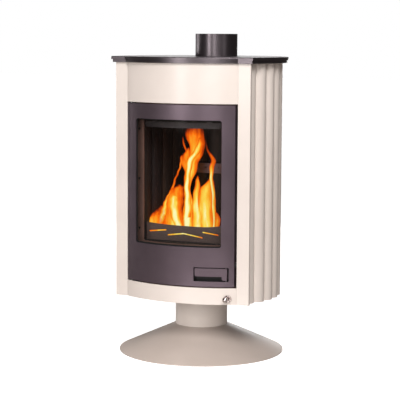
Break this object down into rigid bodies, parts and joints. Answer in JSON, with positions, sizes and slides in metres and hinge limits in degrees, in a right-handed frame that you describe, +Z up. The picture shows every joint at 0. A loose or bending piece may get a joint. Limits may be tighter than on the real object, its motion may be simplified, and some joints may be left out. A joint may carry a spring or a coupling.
{
  "type": "wood burning stove",
  "caption": "Freestanding stove on a round pedestal: bowed glass door with a flush lever, fluted round casing, stepped top plate, rear top flue collar and tapered firebox.",
  "frame": {"origin": "on the floor, on the axis of the round pedestal", "axes": "+Z up; the door faces -Y; +X to the right of somebody facing the door"},
  "size_m": [0.58, 0.572, 1.083],
  "materials": {
    "cream_paint": "satin powder coat",
    "base_paint": "satin powder coat",
    "graphite_paint": "matt heat-resistant paint",
    "top_paint": "matt heat-resistant paint",
    "firebox_steel": "soot-darkened heat-resistant paint",
    "cast_iron": "as cast, blackened",
    "vermiculite": "fired board, sooty",
    "ceramic_glass": "clear ceramic glass",
    "seal_rope": "braided glass fibre",
    "zinc_steel": "zinc plated",
    "polished_steel": "polished",
    "structural_steel": "black primer"
  },
  "bodies": {
    "stove": {"floor_plate": "structural_steel", "base_cone": "base_paint", "pedestal_neck": "base_paint", "neck_flanges": "structural_steel", "pedestal_bolts": "zinc_steel", "bottom_plate": "structural_steel", "left_casing": "cream_paint", "rear_casing": "cream_paint", "right_casing": "cream_paint", "left_pilaster": "cream_paint", "right_pilaster": "cream_paint", "upper_front_panel": "cream_paint", "lower_front_panel": "cream_paint", "top_frame": "top_paint", "top_plate": "top_paint", "flue_collar": "top_paint", "top_plate_studs": "zinc_steel", "air_box": "structural_steel", "knob_bezel": "polished_steel", "stand_channels": "structural_steel", "firebox_floor": "firebox_steel", "firebox_left_wall": "firebox_steel", "firebox_right_wall": "firebox_steel", "firebox_rear_wall": "firebox_steel", "firebox_top": "firebox_steel", "firebox_front_frame": "firebox_steel", "frame_screws": "zinc_steel", "hearth_plate": "cast_iron", "grate": "cast_iron", "ash_pan": "firebox_steel", "support_rails": "firebox_steel", "left_liner": "cast_iron", "right_liner": "cast_iron", "rear_liner_lower": "cast_iron", "rear_liner_upper": "cast_iron", "secondary_air_bar": "firebox_steel", "secondary_air_duct": "firebox_steel", "lower_baffle": "vermiculite", "upper_baffle": "firebox_steel", "airwash_deflector": "firebox_steel", "log_guard": "cast_iron", "rear_heat_shield": "structural_steel", "hinge_brackets": "structural_steel", "hinge_pins": "zinc_steel", "latch_keeper": "structural_steel"},
    "door": {"door_frame": "graphite_paint", "door_pan": "graphite_paint", "door_glass": "ceramic_glass", "glass_gasket": "seal_rope", "glass_retainers": "firebox_steel", "retainer_screws": "zinc_steel", "door_gasket": "seal_rope", "handle_recess_cup": "firebox_steel", "hinge_lugs": "graphite_paint"},
    "latch": {"handle_lever": "graphite_paint", "latch_shaft": "zinc_steel", "latch_hook": "zinc_steel"},
    "air_slide": {"air_knob": "polished_steel", "air_rod": "zinc_steel", "air_damper": "structural_steel"}
  },
  "joints": [
    {"name": "door_hinge", "type": "hinge", "parent": "stove", "child": "door", "pos_m": [-0.184, -0.16803, 0.554], "axis": [0, 0, -1], "range_deg": [0, 105]},
    {"name": "handle_pivot", "type": "hinge", "parent": "door", "child": "latch", "pos_m": [0.166, -0.17643, 0.3], "axis": [0, 0, 1], "range_deg": [0, 22]},
    {"name": "air_control", "type": "slide", "parent": "stove", "child": "air_slide", "axis": [0, -1, 0], "range_m": [0, 0.035]}
  ]
}
